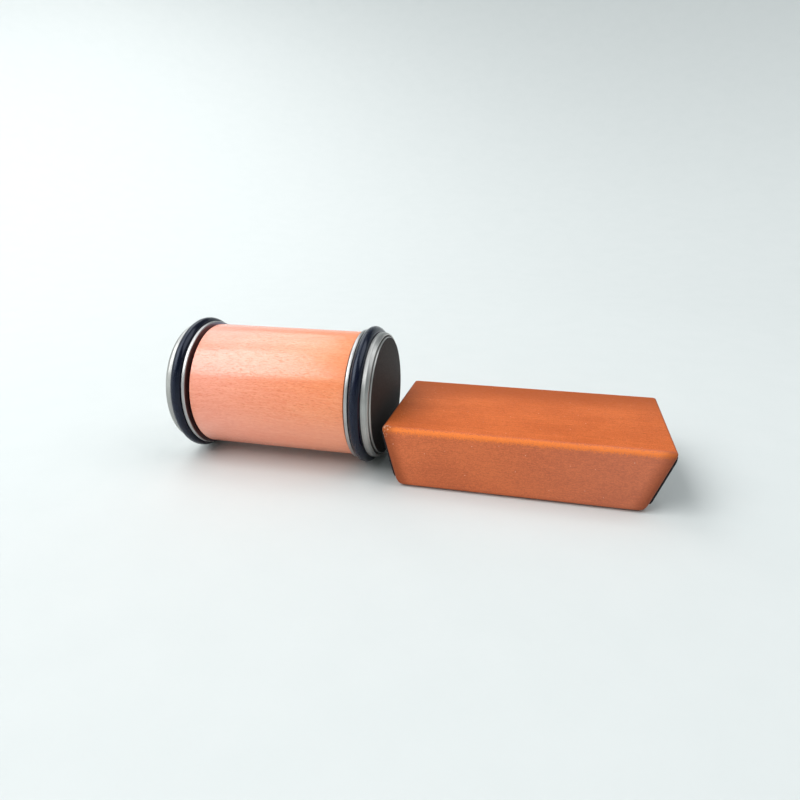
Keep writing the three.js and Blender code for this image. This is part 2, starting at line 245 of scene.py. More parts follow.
# Grip
# A barrel turned from one piece of light beech, stained peach and lacquered to a satin sheen.
# It is bored through for the axle and counterbored at both ends for the bearing cups. Its ends stand a
# little off the solid's, within the gap beside the wheels.
outer_steps = 192
inner_steps = 96
left_gap = 0.4 * mm
right_reach = 0.7 * mm
grip_low, grip_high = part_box("grip_barrel")
axle_line = (grip_low + grip_high) / 2
grip_end = (grip_high.x - grip_low.x) / 2
grip_left_end = -grip_end + left_gap
grip_right_end = grip_end + right_reach
grip_radius = (grip_high.z - grip_low.z) / 2
grip_bore = 8 * mm
cup_seat_radius = 15.2 * mm
cup_seat_floor = 21 * mm
grip_edge_round = 0.25 * mm
seat_edge_round = 0.4 * mm


def outlined(outline, side, corner_cuts):
    """A closed wire through corners, each a way along the axle, a radius and perhaps a rounding."""
    shape = bmesh.new()
    corners = []
    for along, radius, *rounding in outline:
        corner = shape.verts.new((axle_line.x + side * along, axle_line.y, axle_line.z + radius))
        corners.append((corner, radius, rounding[0] if rounding else 0))
    for (first, first_radius, _), (second, second_radius, _) in zip(corners, corners[1:] + corners[:1]):
        if first_radius > 0 or second_radius > 0:
            shape.edges.new((first, second))
    for corner, _, rounding in corners:
        if rounding > 0:
            bmesh.ops.bevel(
                shape, geom=[corner], offset=rounding, offset_type="OFFSET", affect="VERTICES",
                segments=corner_cuts, profile=0.5, material=-1,
            )
    return shape


def turned(name, outline, side=1, steps=inner_steps, corner_cuts=4):
    shape = outlined(outline, side, corner_cuts)
    spun(shape, axle_line, (1, 0, 0), steps)
    return finished(shape, name)


def fit_in(piece, body, node, finish):
    piece.data.materials.append(finish)
    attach(piece, body)
    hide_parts(node)


def vector_math(tree, operation, output, first, second=(0, 0, 0), third=(0, 0, 0)):
    inputs = {0: first, 1: second, 2: third}
    return add_node(tree, "VectorMath", inputs, operation=operation).outputs[output]


def swayed(tree, value, layer, share):
    """The value with a share of the layer's way from its middle added."""
    return calculate(tree, "MULTIPLY_ADD", calculate(tree, "SUBTRACT", layer, 0.5), share, value)


mm_in_metre = 1000
grain_drift = 8
rings_per_mm = 0.6


def beech_grain(tree, place, middle, pith, shares):
    """Fine straight grain along X: a tone about 0, a mask of flecks, fine fibres and the place in mm."""
    in_mm = scaled(tree, place, (mm_in_metre,) * 3, tuple(-mm_in_metre * part for part in middle))
    drift = add_node(tree, "TexNoise", {"Vector": scaled(tree, in_mm, (0.02, 0.04, 0.04)), "Scale": 1.0})
    shift = vector_math(tree, "SUBTRACT", "Vector", drift.outputs["Color"], (0.5, 0.5, 0.5))
    bent = vector_math(tree, "MULTIPLY_ADD", "Vector", shift, (0, grain_drift, grain_drift), in_mm)
    from_pith = vector_math(tree, "LENGTH", "Value", scaled(tree, bent, (0, 1, 1), (0, *pith)))
    ring_place = calculate(tree, "MULTIPLY", from_pith, rings_per_mm)
    rings = add_node(
        tree, "TexNoise", {"W": ring_place, "Scale": 1.0, "Detail": 3.0}, noise_dimensions="1D"
    ).outputs["Fac"]
    fibres = noise(tree, scaled(tree, bent, (0.1, 2.0, 2.0)), detail=4, roughness=0.6)
    fine_fibres = noise(tree, scaled(tree, bent, (0.5, 3.2, 3.2)), detail=3, roughness=0.6)
    clouds = noise(tree, scaled(tree, in_mm, (0.035, 0.07, 0.07)), detail=2)
    tone = 0.0
    for layer, share in zip((rings, fibres, fine_fibres, clouds), shares):
        tone = swayed(tree, tone, layer, share)
    flecks = spread(tree, noise(tree, scaled(tree, bent, (0.6, 2.8, 2.8)), detail=1.0), 0.57, 0.67)
    return tone, flecks, fine_fibres, in_mm


peach_left = (0.9, 0.31, 0.186, 1)
peach_right = (0.985, 0.322, 0.124, 1)
amber_left = (0.8, 0.216, 0.117, 1)
amber_right = (0.9, 0.224, 0.068, 1)
fleck_brown = (0.56, 0.13, 0.045, 1)
painted_bounce_pink = (0.98, 0.4, 0.29, 1)
grip_pith = (46, -64)
grip_shares = (0.2, 0.6, 0.9, 0.3)
peach_beech, tree, shader, place = new_finish("peach_beech")
tone, flecks, fine_fibres, in_mm = beech_grain(tree, place, axle_line, grip_pith, grip_shares)
axes = add_node(tree, "SeparateXYZ", {"Vector": in_mm}).outputs
to_right = spread(tree, axes["X"], -40, 40)
# Painted reflected light: the underside is blended lighter and pinker, as if lit by the pale floor below.
floor_bounce_share = spread(tree, axes["Z"], 2, -12, 0, 0.32)
pale = blend_colours(tree, to_right, peach_left, peach_right)
deep = blend_colours(tree, to_right, amber_left, amber_right)
stain = blend_colours(tree, spread(tree, tone, -0.26, 0.26), pale, deep)
stain = blend_colours(tree, calculate(tree, "MULTIPLY", flecks, 0.38), stain, fleck_brown)
stain = blend_colours(tree, floor_bounce_share, stain, painted_bounce_pink)
tree.links.new(stain, shader.inputs["Base Color"])
tree.links.new(spread(tree, fine_fibres, 0.25, 0.75, 0.45, 0.58), shader.inputs["Roughness"])
shader.inputs["Specular IOR Level"].default_value = 0.3
tree.links.new(spread(tree, flecks, 0.0, 0.8, 1.0, 0.4), shader.inputs["Coat Weight"])
shader.inputs["Coat Roughness"].default_value = 0.22
shader.inputs["Coat IOR"].default_value = 1.72
surface = calculate(tree, "MULTIPLY_ADD", flecks, -0.8, fine_fibres)
add_bump(tree, shader, surface, distance=0.03 * mm, strength=0.3)
add_bump(tree, shader, surface, distance=0.03 * mm, strength=0.35, layer="Coat Normal")

grip = turned("wooden_grip", [
    (-cup_seat_floor, grip_bore),
    (-cup_seat_floor, cup_seat_radius),
    (grip_left_end, cup_seat_radius, seat_edge_round),
    (grip_left_end, grip_radius, grip_edge_round),
    (grip_right_end, grip_radius, grip_edge_round),
    (grip_right_end, cup_seat_radius, seat_edge_round),
    (cup_seat_floor, cup_seat_radius),
    (cup_seat_floor, grip_bore),
], steps=outer_steps)
fit_in(grip, "grip", "grip_barrel", peach_beech)

# Bearing cups
# Aluminium cups turned on a lathe and pressed into the grip's ends, each with a lip behind the bearing
# and a slot near its mouth for the retaining ring.
cup_start = 21.2 * mm
cup_floor = 24.2 * mm
cup_end = 34.0 * mm
cup_radius = 15.0 * mm
bearing_seat_radius = 11.2 * mm
cup_lip_radius = 8.94 * mm
ring_slot_radius = 11.8 * mm
ring_slot_start = 31.4 * mm
ring_slot_end = 32.8 * mm
small_round = 0.3 * mm
sides = (("right", 1), ("left", -1))


def round_the_axle(tree, place):
    """The way along the axle and the distance from it as X and Y, which the lines of turning follow."""
    centred = scaled(tree, place, (1, 1, 1), tuple(-part for part in axle_line))
    along = add_node(tree, "SeparateXYZ", {"Vector": centred}).outputs["X"]
    away = vector_math(tree, "LENGTH", "Value", scaled(tree, centred, (0, 1, 1)))
    return add_node(tree, "CombineXYZ", {"X": along, "Y": away}).outputs["Vector"], along, away


def turned_metal(name, bright, dull, smooth, rough, line_scale):
    """Bare metal with fine tool lines round the axle and faint smears."""
    finish, tree, shader, place = new_finish(name)
    turning, _, _ = round_the_axle(tree, place)
    tool_lines = even_noise(tree, turning, scale=line_scale, detail=4, roughness=0.7)
    smears = even_noise(tree, place, scale=110, detail=3)
    worn = swayed(tree, smears, tool_lines, 1.3)
    tone = blend_colours(tree, spread(tree, worn, 0.2, 0.8), dull, bright)
    tree.links.new(tone, shader.inputs["Base Color"])
    tree.links.new(spread(tree, worn, 0.2, 0.8, rough, smooth), shader.inputs["Roughness"])
    shader.inputs["Metallic"].default_value = 1.0
    add_bump(tree, shader, tool_lines, distance=0.006 * mm, strength=0.5)
    return finish


cup_aluminium = turned_metal(
    "cup_aluminium", bright=(0.78, 0.79, 0.8, 1), dull=(0.62, 0.63, 0.64, 1),
    smooth=0.3, rough=0.45, line_scale=2200,
)
for side_name, side in sides:
    cup = turned(side_name + "_cup", [
        (cup_start, cup_lip_radius, small_round),
        (cup_start, cup_radius, small_round),
        (cup_end, cup_radius, small_round),
        (cup_end, bearing_seat_radius, small_round),
        (ring_slot_end, bearing_seat_radius),
        (ring_slot_end, ring_slot_radius),
        (ring_slot_start, ring_slot_radius),
        (ring_slot_start, bearing_seat_radius),
        (cup_floor, bearing_seat_radius),
        (cup_floor, cup_lip_radius, small_round),
    ], side)
    fit_in(cup, "grip", "bearing_cup_" + side_name, cup_aluminium)

# Ball bearings
# Standard bearings of 8 x 22 x 7 mm: two hardened races with ground tracks, seven balls between them,
# and a brass ring with a round pocket for each ball that keeps them apart.
bearing_start = 24.4 * mm
bearing_end = 31.4 * mm
bearing_middle = (bearing_start + bearing_end) / 2
outer_race_radius = 11.0 * mm
inner_race_radius = 4.0 * mm
ball_pitch = 7.5 * mm
ball_radius = 2.0 * mm
ball_count = 7
track_radius = 2.25 * mm
race_opening = 2.88 * mm
race_round = 0.25 * mm
cage_inner = 6.7 * mm
cage_outer = 8.3 * mm
cage_half_width = 2.8 * mm
pocket_radius = 2.2 * mm
pocket_sides = 32
steps_per_ball = 12
tangent_share = 0.995
track_half_angle = math.acos(race_opening / 2 / track_radius)
track_half_width = track_radius * math.sin(track_half_angle)
track_apex = track_radius / math.cos(track_half_angle)
track_tangent = tangent_share * track_radius * math.tan(track_half_angle)

bearing_steel = turned_metal(
    "bearing_steel", bright=(0.72, 0.73, 0.74, 1), dull=(0.6, 0.61, 0.62, 1),
    smooth=0.08, rough=0.18, line_scale=3000,
)
cage_brass = turned_metal(
    "cage_brass", bright=(0.72, 0.51, 0.2, 1), dull=(0.56, 0.38, 0.14, 1),
    smooth=0.25, rough=0.4, line_scale=2400,
)


def cut_or_join(piece, shape, operation, sharp_angle=40):
    """Cuts a closed shape out of a piece, or joins it on, for good."""
    tool = finished(shape, piece.name + "_tool")
    change = piece.modifiers.new("change", "BOOLEAN")
    change.operation = operation
    change.solver = "EXACT"
    change.object = tool
    bpy.context.view_layer.update()
    dressed = piece.evaluated_get(bpy.context.evaluated_depsgraph_get())
    changed = bpy.data.meshes.new_from_object(dressed)
    piece.modifiers.clear()
    plain = piece.data
    piece.data = changed
    changed.set_sharp_from_angle(angle=math.radians(sharp_angle))
    bpy.data.meshes.remove(plain)
    changed.name = piece.name
    bpy.data.objects.remove(tool)


def cylinder_in(shape, radius, depth, place, segments):
    bmesh.ops.create_cone(
        shape, cap_ends=True, cap_tris=False, segments=segments, radius1=radius, radius2=radius,
        depth=depth, matrix=place,
    )


for side_name, side in sides:
    for race_name, back, way in (("outer", outer_race_radius, 1), ("inner", inner_race_radius, -1)):
        shoulder = ball_pitch + way * race_opening / 2
        race = turned(side_name + "_" + race_name + "_race", [
            (bearing_start, back, race_round),
            (bearing_start, shoulder, race_round),
            (bearing_middle - track_half_width, shoulder),
            (bearing_middle, ball_pitch + way * track_apex, track_tangent),
            (bearing_middle + track_half_width, shoulder),
            (bearing_end, shoulder, race_round),
            (bearing_end, back, race_round),
        ], side, corner_cuts=8)
        body = "grip" if race_name == "outer" else "running_gear"
        fit_in(race, body, race_name + "_race_" + side_name, bearing_steel)

    cage = turned(side_name + "_ball_cage", [
        (bearing_middle - cage_half_width, cage_inner),
        (bearing_middle - cage_half_width, cage_outer),
        (bearing_middle + cage_half_width, cage_outer),
        (bearing_middle + cage_half_width, cage_inner),
    ], side, steps=steps_per_ball * ball_count)
    pockets = bmesh.new()
    for number in range(ball_count):
        turn = Matrix.Rotation(-side * math.tau * number / ball_count, 4, "X")
        shift = Matrix.Translation((side * bearing_middle, 0, 0))
        reach = shift @ turn @ Matrix.Translation((0, 0, ball_pitch))
        ball_place = Matrix.Translation(axle_line) @ reach
        cylinder_in(pockets, pocket_radius, 2 * ball_radius, ball_place, pocket_sides)
        shape = bmesh.new()
        bmesh.ops.create_uvsphere(
            shape, u_segments=40, v_segments=24, radius=ball_radius, matrix=ball_place
        )
        ball = finished(shape, side_name + "_ball_" + str(number + 1))
        node = "ball_" + side_name + "_" + str(number + 1)
        fit_in(ball, side_name + "_cage", node, bearing_steel)
    cut_or_join(cage, pockets, "DIFFERENCE")
    fit_in(cage, side_name + "_cage", "ball_cage_" + side_name, cage_brass)

# Retaining rings
# Open rings stamped from spring steel with an eyelet at each end, blackened, sprung into the cups' slots.
ring_start = 31.6 * mm
ring_thickness = 1.0 * mm
ring_outer = 11.5 * mm
ring_inner = 9.9 * mm
ring_opening = 0.5
ring_steps = 80
eyelet_radius = 1.4 * mm
eyelet_hole = 0.7 * mm
eyelet_reach = 10.1 * mm
eyelet_sides = 32
hole_sides = 24
eyelet_angle = ring_opening + eyelet_radius / eyelet_reach
blackened_steel = turned_metal(
    "blackened_spring_steel", bright=(0.16, 0.16, 0.165, 1), dull=(0.09, 0.09, 0.095, 1),
    smooth=0.32, rough=0.5, line_scale=1800,
)
lying = Matrix.Rotation(math.pi / 2, 4, "Y")
for side_name, side in sides:
    shape = outlined([
        (ring_start, ring_inner),
        (ring_start, ring_outer),
        (ring_start + ring_thickness, ring_outer),
        (ring_start + ring_thickness, ring_inner),
    ], side, corner_cuts=2)
    bmesh.ops.rotate(
        shape, cent=axle_line, matrix=Matrix.Rotation(math.pi + eyelet_angle, 3, "X"), verts=shape.verts
    )
    bmesh.ops.contextual_create(shape, geom=shape.edges)
    bmesh.ops.spin(
        shape, geom=shape.verts[:] + shape.edges[:] + shape.faces[:], cent=axle_line, axis=(1, 0, 0),
        dvec=(0, 0, 0), angle=math.tau - 2 * eyelet_angle, steps=ring_steps,
    )
    weld(shape)
    ring = finished(shape, side_name + "_spring_ring")
    eyelets = bmesh.new()
    holes = bmesh.new()
    for way in (-1, 1):
        turn = Matrix.Rotation(math.pi + way * eyelet_angle, 4, "X")
        along = side * (ring_start + ring_thickness / 2)
        reach = Matrix.Translation(axle_line) @ turn @ Matrix.Translation((along, 0, eyelet_reach)) @ lying
        cylinder_in(eyelets, eyelet_radius, ring_thickness, reach, eyelet_sides)
        cylinder_in(holes, eyelet_hole, 3 * ring_thickness, reach, hole_sides)
    cut_or_join(ring, eyelets, "UNION")
    cut_or_join(ring, holes, "DIFFERENCE")
    fit_in(ring, "grip", "retaining_ring_" + side_name, blackened_steel)

# Axle
# One ground steel shaft through the grip, thicker between the bearings, with a threaded hole in each end.
axle_shoulder_end = 24.2 * mm
axle_shoulder_radius = 5.5 * mm
journal_radius = 3.8 * mm
axle_end = 39.8 * mm
stud_hole_radius = 3.0 * mm
axle_hole_floor = 30.6 * mm
axle_steel = turned_metal(
    "axle_steel", bright=(0.62, 0.62, 0.61, 1), dull=(0.48, 0.48, 0.47, 1),
    smooth=0.18, rough=0.32, line_scale=2600,
)
half_axle = [
    (axle_shoulder_end, axle_shoulder_radius, small_round),
    (axle_shoulder_end, journal_radius),
    (axle_end, journal_radius, small_round),
    (axle_end, stud_hole_radius, small_round),
    (axle_hole_floor, stud_hole_radius),
    (axle_hole_floor, 0),
]
other_half = [(-along, *rest) for along, *rest in reversed(half_axle)]
axle = turned("ground_axle", half_axle + other_half)
fit_in(axle, "running_gear", "axle", axle_steel)

# Spacers
# Short steel bushes on the axle, which carry the clamping from the inner race to the wheel.
spacer_start = 31.6 * mm
spacer_end = 35.6 * mm
spacer_bore = 4.0 * mm
spacer_radius = 5.9 * mm
for side_name, side in sides:
    spacer = turned(side_name + "_bush", [
        (spacer_start, spacer_bore, small_round),
        (spacer_start, spacer_radius, small_round),
        (spacer_end, spacer_radius, small_round),
        (spacer_end, spacer_bore, small_round),
    ], side)
    fit_in(spacer, "running_gear", "spacer_" + side_name, axle_steel)

# Wheels
# Each is turned from one steel blank: a thin polished flange beside the grip, a round groove for the tyre,
# and a brushed rim with a bevel, whose face is bored out for the disc. The side by the grip is painted
# dark: painted shade in the narrow gap between the flange and the grip.
flange_radius = 28.4 * mm
rim_radius = 27.5 * mm
wheel_start = 35.8 * mm
flange_end = 37.4 * mm
rim_start = 42.7 * mm
groove_depth_radius = 24.85 * mm
groove_round = 2.64 * mm
rim_bevel_start = 44.5 * mm
rim_end = 45.7 * mm
rim_face_radius = 26.8 * mm
disc_seat_radius = 26.2 * mm
disc_seat_floor = 43.7 * mm
hub_seat_radius = 6.4 * mm
hub_seat_floor = 40.7 * mm
shaft_hole_radius = 4.0 * mm
flange_edge_round = 0.35 * mm
rim_side_round = 0.2 * mm
rim_bevel_round = 0.25 * mm
rim_face_round = 0.15 * mm
rim_dull = (0.33, 0.325, 0.315, 1)
rim_bright = (0.44, 0.435, 0.42, 1)
flange_dull = (0.34, 0.335, 0.33, 1)
flange_bright = (0.44, 0.435, 0.43, 1)
gap_shade_steel = (0.2, 0.19, 0.25, 1)

wheel_steel, tree, shader, place = new_finish("turned_wheel_steel")
turning, along, away = round_the_axle(tree, place)
outward = calculate(tree, "ABSOLUTE", along)
tool_lines = even_noise(tree, turning, scale=2600, detail=4, roughness=0.7)
smears = even_noise(tree, place, scale=130, detail=4)
brushed = swayed(tree, smears, tool_lines, 1.2)
brushed_share = spread(tree, brushed, 0.2, 0.8)
on_flange = spread(tree, outward, flange_end + 0.05 * mm, flange_end + 0.3 * mm, 1.0, 0.0)
# Painted shade: the flange's inner face, across the narrow gap from the grip, is coloured dark steel.
painted_gap_shade = spread(tree, outward, wheel_start + 0.02 * mm, wheel_start + 0.2 * mm, 1.0, 0.0)
below_edge = spread(tree, away, flange_radius - 0.5 * mm, flange_radius - 0.3 * mm, 1.0, 0.0)
painted_gap_shade = calculate(tree, "MULTIPLY", painted_gap_shade, below_edge)
rim_tone = blend_colours(tree, brushed_share, rim_dull, rim_bright)
flange_tone = blend_colours(tree, brushed_share, flange_dull, flange_bright)
metal_tone = blend_colours(tree, on_flange, rim_tone, flange_tone)
metal_tone = blend_colours(tree, painted_gap_shade, metal_tone, gap_shade_steel)
tree.links.new(metal_tone, shader.inputs["Base Color"])
rim_rough = spread(tree, brushed, 0.2, 0.8, 0.44, 0.34)
polish = calculate(tree, "MULTIPLY", on_flange, -0.05)
tree.links.new(calculate(tree, "ADD", rim_rough, polish), shader.inputs["Roughness"])
shader.inputs["Metallic"].default_value = 1.0
add_bump(tree, shader, tool_lines, distance=0.008 * mm, strength=0.6)
for side_name, side in sides:
    wheel = turned(side_name + "_steel_wheel", [
        (wheel_start, shaft_hole_radius, small_round),
        (wheel_start, flange_radius, flange_edge_round),
        (flange_end, flange_radius, flange_edge_round),
        (flange_end, groove_depth_radius, groove_round),
        (rim_start, groove_depth_radius, groove_round),
        (rim_start, rim_radius, rim_side_round),
        (rim_bevel_start, rim_radius, rim_bevel_round),
        (rim_end, rim_face_radius, rim_face_round),
        (rim_end, disc_seat_radius, rim_face_round),
        (disc_seat_floor, disc_seat_radius),
        (disc_seat_floor, hub_seat_radius, small_round),
        (hub_seat_floor, hub_seat_radius),
        (hub_seat_floor, shaft_hole_radius, small_round),
    ], side, outer_steps, corner_cuts=6)
    fit_in(wheel, "running_gear", "wheel_" + side_name, wheel_steel)

# Tyres
# Black rubber rings of round cord, stretched into the wheels' grooves, which roll on the table.
# Moulded smooth, a little dusty and duller on the running line.
tyre_middle = 40.05 * mm
tyre_ring_radius = 27.5 * mm
cord_radius = 2.5 * mm
cord_sides = 32
rubber_black = (0.0012, 0.002, 0.01, 1)
rubber_dusty = (0.004, 0.006, 0.018, 1)
rubber_speck = (0.025, 0.026, 0.034, 1)
cool_shine = (0.74, 0.82, 1.0, 1)

tyre_rubber, tree, shader, place = new_finish("black_tyre_rubber")
speckle = even_noise(tree, place, scale=3200, detail=2)
smears = even_noise(tree, place, scale=240, detail=3)
_, _, away = round_the_axle(tree, place)
running_line = spread(tree, away, tyre_ring_radius + 0.8 * cord_radius, tyre_ring_radius + cord_radius)
dust = calculate(tree, "MULTIPLY", running_line, smears)
rubber_tone = blend_colours(tree, dust, rubber_black, rubber_dusty)
specks = spread(tree, speckle, 0.66, 0.78, 0.0, 0.4)
rubber_tone = blend_colours(tree, specks, rubber_tone, rubber_speck)
tree.links.new(rubber_tone, shader.inputs["Base Color"])
tree.links.new(spread(tree, dust, 0.0, 0.6, 0.14, 0.3), shader.inputs["Roughness"])
shader.inputs["Specular IOR Level"].default_value = 0.38
shader.inputs["Specular Tint"].default_value = cool_shine
add_bump(tree, shader, speckle, distance=0.01 * mm, strength=0.3)
for side_name, side in sides:
    shape = bmesh.new()
    ring_top = axle_line + Vector((side * tyre_middle, 0, tyre_ring_radius))
    bmesh.ops.create_circle(
        shape, segments=cord_sides, radius=cord_radius,
        matrix=Matrix.Translation(ring_top) @ Matrix.Rotation(math.pi / 2, 4, "X"),
    )
    spun(shape, axle_line, (1, 0, 0), outer_steps)
    tyre = finished(shape, side_name + "_rubber_tyre")
    fit_in(tyre, "running_gear", "tyre_" + side_name, tyre_rubber)

# Studs
# Lengths of threaded rod, blackened, which screw into the axle's ends and carry the discs.
stud_start = 30.8 * mm
stud_end = 44.9 * mm
stud_radius = 2.8 * mm
thread_depth = 0.45 * mm
thread_pitch = 0.8 * mm
thread_weld = 0.001 * mm
steps_per_turn = 28
thread_profile = ((0, thread_depth), (0.4, 0), (0.6, 0), (1, thread_depth))
thread_turns = math.ceil((stud_end - stud_start) / thread_pitch) + 2
for side_name, side in sides:
    shape = bmesh.new()
    foot = axle_line + Vector((side * (stud_start - thread_pitch), 0, 0))
    profile = [
        shape.verts.new(foot + Vector((side * share * thread_pitch, 0, stud_radius - depth)))
        for share, depth in thread_profile
    ]
    for first, second in zip(profile, profile[1:]):
        shape.edges.new((first, second))
    bmesh.ops.spin(
        shape, geom=shape.verts[:] + shape.edges[:], cent=axle_line, axis=(1, 0, 0),
        dvec=(side * thread_pitch / steps_per_turn, 0, 0), angle=math.tau * thread_turns,
        steps=steps_per_turn * thread_turns,
    )
    bmesh.ops.remove_doubles(shape, verts=shape.verts, dist=thread_weld)
    for along, way in ((stud_start, -1), (stud_end, 1)):
        cut = axle_line + Vector((side * along, 0, 0))
        bmesh.ops.bisect_plane(
            shape, geom=shape.verts[:] + shape.edges[:] + shape.faces[:], plane_co=cut,
            plane_no=(side * way, 0, 0), clear_outer=True,
        )
    open_edges = [edge for edge in shape.edges if edge.is_boundary]
    bmesh.ops.holes_fill(shape, edges=open_edges, sides=0)
    bmesh.ops.recalc_face_normals(shape, faces=shape.faces)
    stud = finished(shape, side_name + "_threaded_stud", sharp_angle=30)
    fit_in(stud, "running_gear", "disc_stud_" + side_name, blackened_steel)

# Diamond disc
# A steel plate with a boss on its back, screwed on by its stud. Its face carries a dark nickel coat
# full of diamond grit, and the bare steel shows on its bevelled edge.
disc_back = 43.9 * mm
disc_face = 46.5 * mm
disc_radius = 25.7 * mm
disc_bevel = 0.4 * mm
disc_back_round = 0.15 * mm
disc_edge_round = 0.08 * mm
hub_radius = 6.2 * mm
hub_end = 40.9 * mm
disc_hole_floor = 45.1 * mm
disc_outline = [
    (disc_hole_floor, 0),
    (disc_hole_floor, stud_hole_radius),
    (hub_end, stud_hole_radius, small_round),
    (hub_end, hub_radius, small_round),
    (disc_back, hub_radius),
    (disc_back, disc_radius, disc_back_round),
    (disc_face - disc_bevel, disc_radius, disc_edge_round),
    (disc_face, disc_radius - disc_bevel, disc_edge_round),
    (disc_face, 0),
]
coat_dark = (0.0104, 0.0072, 0.0066, 1)
coat_light = (0.0172, 0.0123, 0.0113, 1)
grit_glint = (0.08, 0.066, 0.06, 1)
bare_dull = (0.3, 0.295, 0.285, 1)
bare_bright = (0.52, 0.51, 0.495, 1)


def cells(tree, place, scale):
    return add_node(tree, "TexVoronoi", {"Vector": scaled(tree, place, (scale,) * 3), "Scale": 1.0})


diamond_grit, tree, shader, place = new_finish("diamond_grit")
turning, along, _ = round_the_axle(tree, place)
on_face = spread(tree, along, disc_face - 0.09 * mm, disc_face - 0.03 * mm)
grains = cells(tree, place, 5200)
grain_tone = add_node(tree, "SeparateColor", {"Color": grains.outputs["Color"]}).outputs["Red"]
patches = even_noise(tree, place, scale=140, detail=4)
coat_tone = blend_colours(tree, patches, coat_dark, coat_light)
sparkle = spread(tree, grain_tone, 0.8, 1.0, 0.0, 0.7)
coat_tone = blend_colours(tree, sparkle, coat_tone, grit_glint)
bare = even_noise(tree, turning, scale=2600, detail=3)
bare_tone = blend_colours(tree, bare, bare_dull, bare_bright)
tree.links.new(blend_colours(tree, on_face, bare_tone, coat_tone), shader.inputs["Base Color"])
tree.links.new(spread(tree, on_face, 0.0, 1.0, 1.0, 0.2), shader.inputs["Metallic"])
tree.links.new(spread(tree, on_face, 0.0, 1.0, 0.35, 0.66), shader.inputs["Roughness"])
shader.inputs["Specular IOR Level"].default_value = 0.22
grit_height = calculate(tree, "MULTIPLY", grains.outputs["Distance"], on_face)
add_bump(tree, shader, grit_height, distance=0.05 * mm, strength=0.6)
diamond_disc = turned("diamond_plate", disc_outline, steps=outer_steps)
fit_in(diamond_disc, "running_gear", "diamond_disc", diamond_grit)

# Honing disc
# The same plate in hardened stainless steel, its face cut with fine concentric ridges for the last polish.
ridge_inner = 5 * mm
ridge_outer = 24.4 * mm
ridge_count = 24
ridge_depth = 0.12 * mm
ridge_pitch = (ridge_outer - ridge_inner) / ridge_count
ridges = []
for number in range(ridge_count, 0, -1):
    top = ridge_inner + number * ridge_pitch
    ridges.append((disc_face, top))
    ridges.append((disc_face - ridge_depth, top - ridge_pitch / 2))
ridges.append((disc_face, ridge_inner))
honing_steel = turned_metal(
    "honing_steel", bright=(0.74, 0.74, 0.73, 1), dull=(0.6, 0.6, 0.59, 1),
    smooth=0.14, rough=0.28, line_scale=3000,
)
honing_disc = turned("honing_plate", disc_outline[:-1] + ridges + disc_outline[-1:], -1, outer_steps)
fit_in(honing_disc, "running_gear", "honing_disc", honing_steel)

# Block
# A bar of beech stained red-brown and oiled, its long edges rounded over on a router and its ends sawn
# at 15 and 20 degrees from upright. Bores behind the ends take magnets and a recess below takes the pad.
work_gap = 4.2 * mm
block_length = 113 * mm
left_slope = math.radians(15)
right_slope = math.radians(20)
long_edge_round = 2.5 * mm
end_side_round = 2.2 * mm
end_top_round = 1.6 * mm
end_foot_round = 3.0 * mm
magnet_bore_radius = 7.2 * mm
magnet_bore_depth = 5.4 * mm
magnet_bore_sides = 64
magnet_pitch = 21.3 * mm
magnet_row = (-1, 0, 1)
recess_play = 0.2 * mm
recess_corner = 4.2 * mm
block_sharp_angle = 25
ends = (("15", left_slope, -1), ("20", right_slope, 1))
block_low, block_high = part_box("block_body")
block_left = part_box("diamond_disc")[1].x + work_gap
wood_height = block_high.z - block_low.z
wood_depth = block_high.y - block_low.y
wood_middle = (block_low + block_high) / 2
wood_middle.x = block_left + block_length / 2
pad_low, pad_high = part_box("base_pad")
pad_middle = (pad_low + pad_high) / 2
pad_size = pad_high - pad_low

end_frames = {}
for name, slope, way in ends:
    half_run = wood_height * math.tan(slope) / 2
    end_middle = wood_middle + Vector((way * (block_length / 2 - half_run), 0, 0))
    turn = slope if way > 0 else math.pi - slope
    end_frames[name] = Matrix.Translation(end_middle) @ Matrix.Rotation(turn, 4, "Y")


def bevelled(shape, edges, size, cuts):
    bmesh.ops.bevel(
        shape, geom=edges, offset=size, offset_type="OFFSET", affect="EDGES", segments=cuts, profile=0.5,
        material=-1,
    )


def edges_along_x(shape, length):
    return [edge for edge in shape.edges if abs(edge.verts[0].co.x - edge.verts[1].co.x) > length / 2]


def rounded_sheet(thickness, depth, height, corner, edge):
    """A sheet along X from 0 to its thickness, with rounded corners and its outer edge eased."""
    shape = bmesh.new()
    bmesh.ops.create_cube(shape, size=1)
    bmesh.ops.scale(shape, vec=(thickness, depth, height), verts=shape.verts)
    bevelled(shape, edges_along_x(shape, thickness), corner, cuts=8)
    if edge > 0:
        outer = [face for face in shape.faces if face.normal.x > 0.9]
        bevelled(shape, [rim for face in outer for rim in face.edges], edge, cuts=3)
    bmesh.ops.translate(shape, vec=(thickness / 2, 0, 0), verts=shape.verts)
    return shape


shape = bmesh.new()
bmesh.ops.create_cube(shape, size=1)
bmesh.ops.scale(shape, vec=(block_length, wood_depth, wood_height), verts=shape.verts)
for _, slope, way in ends:
    feet = [vertex for vertex in shape.verts if vertex.co.z < 0 and vertex.co.x * way > 0]
    bmesh.ops.translate(shape, vec=(-way * wood_height * math.tan(slope), 0, 0), verts=feet)
rounding = shape.edges.layers.float.new("bevel_weight_edge")
for edge in shape.edges:
    first, second = (vertex.co for vertex in edge.verts)
    if abs(first.x - second.x) > block_length / 2:
        edge_round = long_edge_round
    elif abs(first.z - second.z) > wood_height / 2:
        edge_round = end_side_round
    elif first.z > 0:
        edge_round = end_top_round
    else:
        edge_round = end_foot_round
    edge[rounding] = edge_round / end_foot_round
bmesh.ops.translate(shape, vec=wood_middle, verts=shape.verts)
bmesh.ops.recalc_face_normals(shape, faces=shape.faces)
block = finished(shape, "wooden_block", block_sharp_angle)
